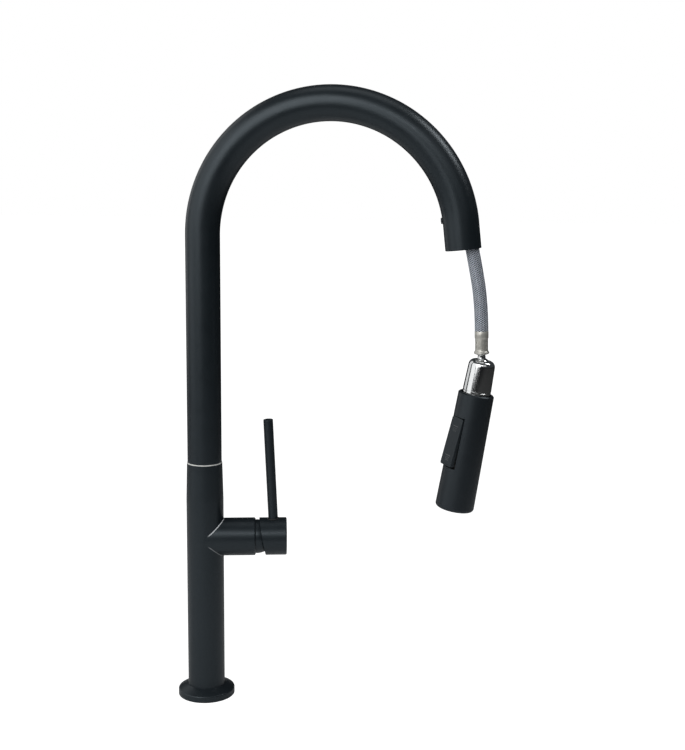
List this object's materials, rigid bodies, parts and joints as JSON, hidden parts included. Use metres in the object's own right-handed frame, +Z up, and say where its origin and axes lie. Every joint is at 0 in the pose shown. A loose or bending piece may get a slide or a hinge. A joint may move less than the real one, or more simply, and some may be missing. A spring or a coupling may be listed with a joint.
{
  "type": "pull down kitchen faucet",
  "caption": "Tall gooseneck kitchen mixer with a side joystick lever and a pull-down spray head on a braided hose.",
  "frame": {"origin": "centre of the flange's underside, on the post's axis, in the plane of the deck", "axes": "+Z up along the post; +X along the spout's arm, away from the post; +Y to its left"},
  "size_m": [0.2588, 0.0542, 0.5026],
  "materials": {
    "black_metal": "satin black coating",
    "black_plastic": "fine matt black",
    "dark_plastic": "dark plastic",
    "chrome": "polished",
    "steel": "crimped nickel",
    "brass": "machined",
    "copper": "drawn tube",
    "rubber": "moulded",
    "white_plastic": "low-friction plastic",
    "ceramic": "lapped",
    "grey_plastic": "moulded",
    "braid": "braided sheath"
  },
  "bodies": {
    "base": {"base_flange": "black_metal", "flange_gasket": "rubber", "body_tube": "black_metal", "base_plug": "brass", "hot_inlet_tube": "copper", "cold_inlet_tube": "copper", "outlet_tube": "copper", "valve_block": "brass", "cartridge_seals": "rubber", "cartridge_body": "grey_plastic", "fixed_disc": "ceramic", "cartridge_nut": "brass", "bonnet_dome": "black_metal", "swivel_core": "brass", "swivel_o_rings": "rubber", "swivel_washer": "white_plastic", "swivel_clip": "steel", "hose_in_body": "braid"},
    "cartridge_spindle": {"moving_disc": "ceramic", "spindle_carrier": "grey_plastic", "stem_pin": "steel"},
    "lever": {"cartridge_stem": "brass", "handle_cap": "black_metal", "lever_rod": "black_metal", "lever_o_ring": "rubber", "grub_screw": "steel"},
    "spout": {"spout_tube": "black_metal", "spout_collar": "brass", "docking_bush": "dark_plastic", "bush_screw": "black_metal", "hose_guide": "white_plastic", "hose_in_spout": "braid"},
    "hose_end": {"spray_hose": "braid", "hose_ferrule": "steel", "ball_stud": "chrome"},
    "cup": {"swivel_cup": "chrome", "ball_seat": "white_plastic", "ball_nut": "brass", "spigot_clip": "steel"},
    "spray_head": {"spray_shell": "black_plastic", "spray_waterway": "grey_plastic", "waterway_o_ring": "rubber", "inlet_strainer": "steel", "check_valve": "white_plastic", "spray_face": "dark_plastic", "nozzle_tips": "rubber", "aerator": "grey_plastic", "button_housing": "dark_plastic", "button_spring": "steel"},
    "diverter": {"diverter_spool": "white_plastic"},
    "button": {"spray_button": "black_plastic", "button_pin": "steel"}
  },
  "joints": [
    {"name": "lever_temperature", "type": "hinge", "parent": "base", "child": "cartridge_spindle", "pos_m": [0, 0, 0.136], "axis": [0.9724, 0.2334, 0], "range_deg": [-45, 45]},
    {"name": "lever_flow", "type": "hinge", "parent": "cartridge_spindle", "child": "lever", "pos_m": [0.04172, 0.01001, 0.136], "axis": [-0.2334, 0.9724, 0], "range_deg": [0, 25]},
    {"name": "spout_swivel", "type": "hinge", "parent": "base", "child": "spout", "pos_m": [0, 0, 0.2], "axis": [0, 0, 1], "range_deg": [-180, 180]},
    {"name": "hose_pull", "type": "slide", "parent": "spout", "child": "hose_end", "axis": [0.165, 0, -0.9863], "range_m": [-0.1134, 0.08], "deforming": ["spray_hose"]},
    {"name": "spray_tilt", "type": "hinge", "parent": "hose_end", "child": "cup", "pos_m": [0.2247, 0, 0.287], "axis": [0, 1, 0], "range_deg": [-16, 12]},
    {"name": "spray_spin", "type": "hinge", "parent": "cup", "child": "spray_head", "pos_m": [0.2247, 0, 0.287], "axis": [0.1616, 0, 0.9869], "continuous": true},
    {"name": "button_rock", "type": "hinge", "parent": "spray_head", "child": "button", "pos_m": [0.20644, -0.00701, 0.22716], "axis": [0.6343, -0.766, -0.1039], "range_deg": [0, 9.6]},
    {"name": "diverter_slide", "type": "slide", "parent": "spray_head", "child": "diverter", "axis": [0.1616, 0, 0.9869], "range_m": [0, 0.003]}
  ],
  "couplings": [
    {"joint": "spray_tilt", "follows": "hose_pull", "rad_per_m": 2.4317},
    {"joint": "diverter_slide", "follows": "button_rock", "m_per_rad": 0.017}
  ]
}
